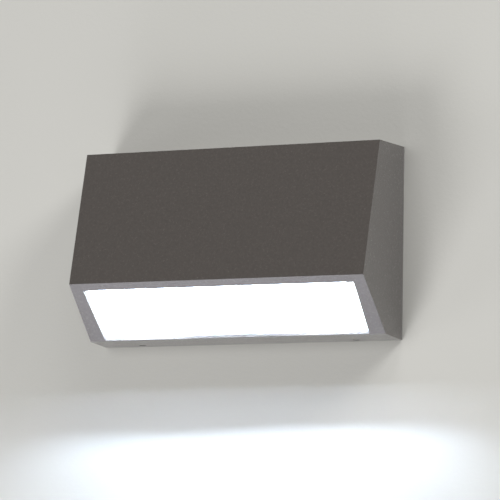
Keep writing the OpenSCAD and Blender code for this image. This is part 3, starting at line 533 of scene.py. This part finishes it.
def soften(obj, radius):
    """Rounds an edge a little, as casting, moulding and paint do. The CAD mesh itself stays."""
    weld = obj.modifiers.new("weld", "WELD")
    weld.merge_threshold = WELD_LENGTH
    flat = obj.modifiers.new("flats", "DECIMATE")
    flat.decimate_type = "DISSOLVE"
    flat.angle_limit = math.radians(SAME_FACE_ANGLE)
    bevel = obj.modifiers.new("bevel", "BEVEL")
    bevel.width = radius
    bevel.segments = 2
    bevel.limit_method = "ANGLE"
    bevel.angle_limit = math.radians(ROUNDED_ANGLE)
    bevel.miter_outer = "MITER_ARC"
    edges = obj.modifiers.new("edges", "NODES")
    edges.node_group = sharp_group
    smooth = obj.modifiers.new("normals", "WEIGHTED_NORMAL")
    smooth.keep_sharp = True


sharp_group = sharp_edges(math.radians(SHARP_ANGLE))
for finish, radius, names in FINISHES:
    for name in names:
        piece = nodes[name]
        for slot in piece.material_slots:
            slot.material = finish.material
        if radius:
            soften(piece, radius)


def wall_finish():
    """Rolled wall paint, seen from the room alone, so that a view from behind looks through it."""
    f = Finish("painted_wall", WALL, 0.75, Specular_IOR_Level=0.2)
    f.shade(f.noise(5, 2), 0.985, 1.015)
    f.bump((f.noise(320, 4, 0.6), 0.00012))
    f.clear_where(f.node("NewGeometry").outputs["Backfacing"])
    return f.material


def corners(low_x, low_z, high_x, high_z):
    """The corners of a rectangle on the wall, as X and Z."""
    return [(low_x, low_z), (high_x, low_z), (high_x, high_z), (low_x, high_z)]


def around_housing(margin):
    """The corners of the housing's outline on the wall, with a margin in metres."""
    low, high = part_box("housing")
    return corners(low.x - margin, low.z - margin, high.x + margin, high.z + margin)


def wall_sheet(name, y, outer, hole=()):
    """A sheet of wall facing the room, given by its corners and those of its hole."""
    mesh = bpy.data.meshes.new(name)
    if hole:
        faces = [(i, (i + 1) % 4, 4 + (i + 1) % 4, 4 + i) for i in range(4)]
    else:
        faces = [(0, 1, 2, 3)]
    mesh.from_pydata([(x, y, z) for x, z in (*outer, *hole)], [], faces)
    mesh.materials.append(wall_material)
    obj = bpy.data.objects.new(name, mesh)
    bpy.context.scene.collection.objects.link(obj)
    return obj


wall_material = wall_finish()
whole_wall = corners(-WALL_HALF, -WALL_HALF, WALL_HALF, WALL_HALF)
wall_sheet("wall", WALL_Y, whole_wall, around_housing(OPENING_MARGIN))
# Behind the lamp the wall is there for the eye only, so that a view from behind shows the back lit
backing = wall_sheet("wall_behind_lamp", BACKING_Y, around_housing(BACKING_MARGIN))
backing.visible_diffuse = False
backing.visible_glossy = False
backing.visible_shadow = False


def background(tree, colour, strength=1.0):
    """A world shader of one colour."""
    shader = tree.nodes.new("ShaderNodeBackground")
    shader.inputs["Color"].default_value = linear(colour)
    shader.inputs["Strength"].default_value = strength
    return shader.outputs[0]


def studio_world():
    """A plain world: the wall's colour to the eye and in mirrors, and a weak even light."""
    world = bpy.data.worlds.new("studio")
    world.use_nodes = True
    tree = world.node_tree
    tree.nodes.clear()
    path = tree.nodes.new("ShaderNodeLightPath")
    seen = path.outputs["Is Camera Ray"]
    for ray in ("Is Glossy Ray", "Is Transmission Ray"):
        either = tree.nodes.new("ShaderNodeMath")
        either.operation = "MAXIMUM"
        tree.links.new(seen, either.inputs[0])
        tree.links.new(path.outputs[ray], either.inputs[1])
        seen = either.outputs[0]
    mix = tree.nodes.new("ShaderNodeMixShader")
    tree.links.new(seen, mix.inputs[0])
    tree.links.new(background(tree, WORLD, WORLD_STRENGTH), mix.inputs[1])
    tree.links.new(background(tree, WALL), mix.inputs[2])
    out = tree.nodes.new("ShaderNodeOutputWorld")
    tree.links.new(mix.outputs[0], out.inputs["Surface"])
    bpy.context.scene.world = world


def toward(azimuth, elevation):
    """The direction that stands at an azimuth and elevation, in degrees, before the wall."""
    a, e = math.radians(azimuth), math.radians(elevation)
    return Vector((math.sin(a) * math.cos(e), -math.cos(a) * math.cos(e), math.sin(e)))


def area_lamp(name, shape, size, power, colour):
    """An area lamp in the scene, still at the origin."""
    lamp = bpy.data.lights.new(name, "AREA")
    lamp.shape = shape
    lamp.size = size
    lamp.energy = power
    lamp.color = linear(colour)[:3]
    obj = bpy.data.objects.new(name, lamp)
    bpy.context.scene.collection.objects.link(obj)
    return obj


def softbox(name, azimuth, elevation, size, power, colour=LAMP_WHITE, mirrored=False):
    """A round lamp aimed at the origin. Unless mirrored, it leaves no bright disc on the coat."""
    away = toward(azimuth, elevation)
    obj = area_lamp(name, "DISK", size, power, colour)
    obj.location = away * BOX_DISTANCE
    obj.rotation_mode = "QUATERNION"
    obj.rotation_quaternion = (-away).to_track_quat("-Z", "Y")
    obj.visible_glossy = mirrored


def downlight(name, middle, length, width, power, lean):
    """A long lamp that rides with the front unit and faces down from under the LED packages."""
    obj = area_lamp(name, "RECTANGLE", length, power, LED_LIGHT)
    obj.data.size_y = width
    obj.location = (*middle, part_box("led_packages")[0].z - BELOW_PACKAGES)
    obj.rotation_euler = (0, 0, math.radians(lean))
    obj.parent = frame["bodies"]["front_unit"]


studio_world()
for box in SOFTBOXES:
    softbox(*box)
for box in GROUND_BOXES:
    softbox(*box, GROUND_LIGHT, mirrored=True)
for lamp in DOWNLIGHTS:
    downlight(*lamp)

# The camera looks along its own -Z and is rolled about it
back = toward(AZIMUTH, ELEVATION)
level = Vector((math.cos(math.radians(AZIMUTH)), math.sin(math.radians(AZIMUTH)), 0))
upright = back.cross(level)
roll = math.radians(ROLL)
right = level * math.cos(roll) + upright * math.sin(roll)
up = upright * math.cos(roll) - level * math.sin(roll)
eye = AIM + back * DISTANCE
camera = bpy.data.objects.new("camera", bpy.data.cameras.new("camera"))
camera.data.lens = LENS
camera.data.sensor_width = SENSOR
camera.matrix_world = Matrix(
    [[right[i], up[i], back[i], eye[i]] for i in range(3)] + [[0, 0, 0, 1]]
)
bpy.context.scene.collection.objects.link(camera)
bpy.context.scene.camera = camera
bpy.context.scene.view_settings.view_transform = "Standard"
